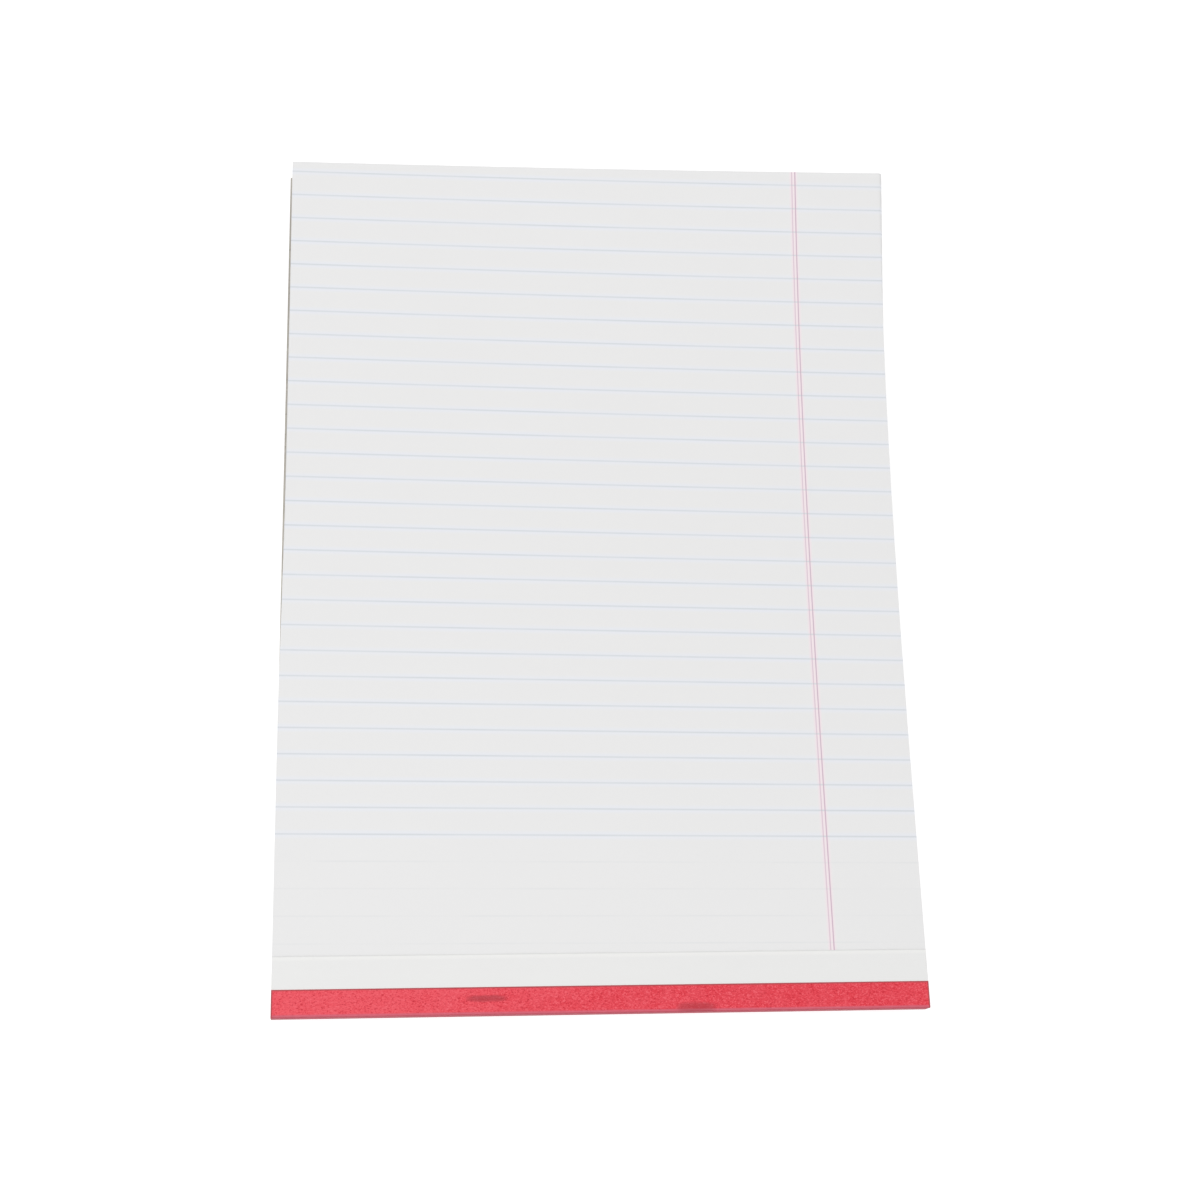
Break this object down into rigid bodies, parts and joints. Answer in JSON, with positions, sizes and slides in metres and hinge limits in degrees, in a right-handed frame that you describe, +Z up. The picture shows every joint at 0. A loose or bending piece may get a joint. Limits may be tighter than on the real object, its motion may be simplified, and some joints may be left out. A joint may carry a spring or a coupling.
{
  "type": "writing pad",
  "caption": "Ruled writing pad, stapled and taped at the head on a chipboard back. It lies flat on the board, with the loose foot of its sheets curled up.",
  "frame": {"origin": "middle of the overall box, on the plane that the pad lies on", "axes": "as the pad is read: +X to the right, +Y towards the taped head, +Z up out of the front"},
  "size_m": [0.2126, 0.2986, 0.0252],
  "materials": {
    "sheets": "matt white writing paper with pale blue rules and a pink double margin line",
    "chipboard": "matt grey-brown chipboard with fine flecks",
    "strip_paper": "smooth white paper, left bare",
    "red_tape": "thin red binding tape with a mottled fibre, a little see-through, satin",
    "staple_wire": "bright galvanised wire"
  },
  "bodies": {
    "root": {"page_block": "sheets", "backing_board": "chipboard", "header_strip": "strip_paper", "binding_tape": "red_tape", "staples": "staple_wire"}
  },
  "joints": []
}
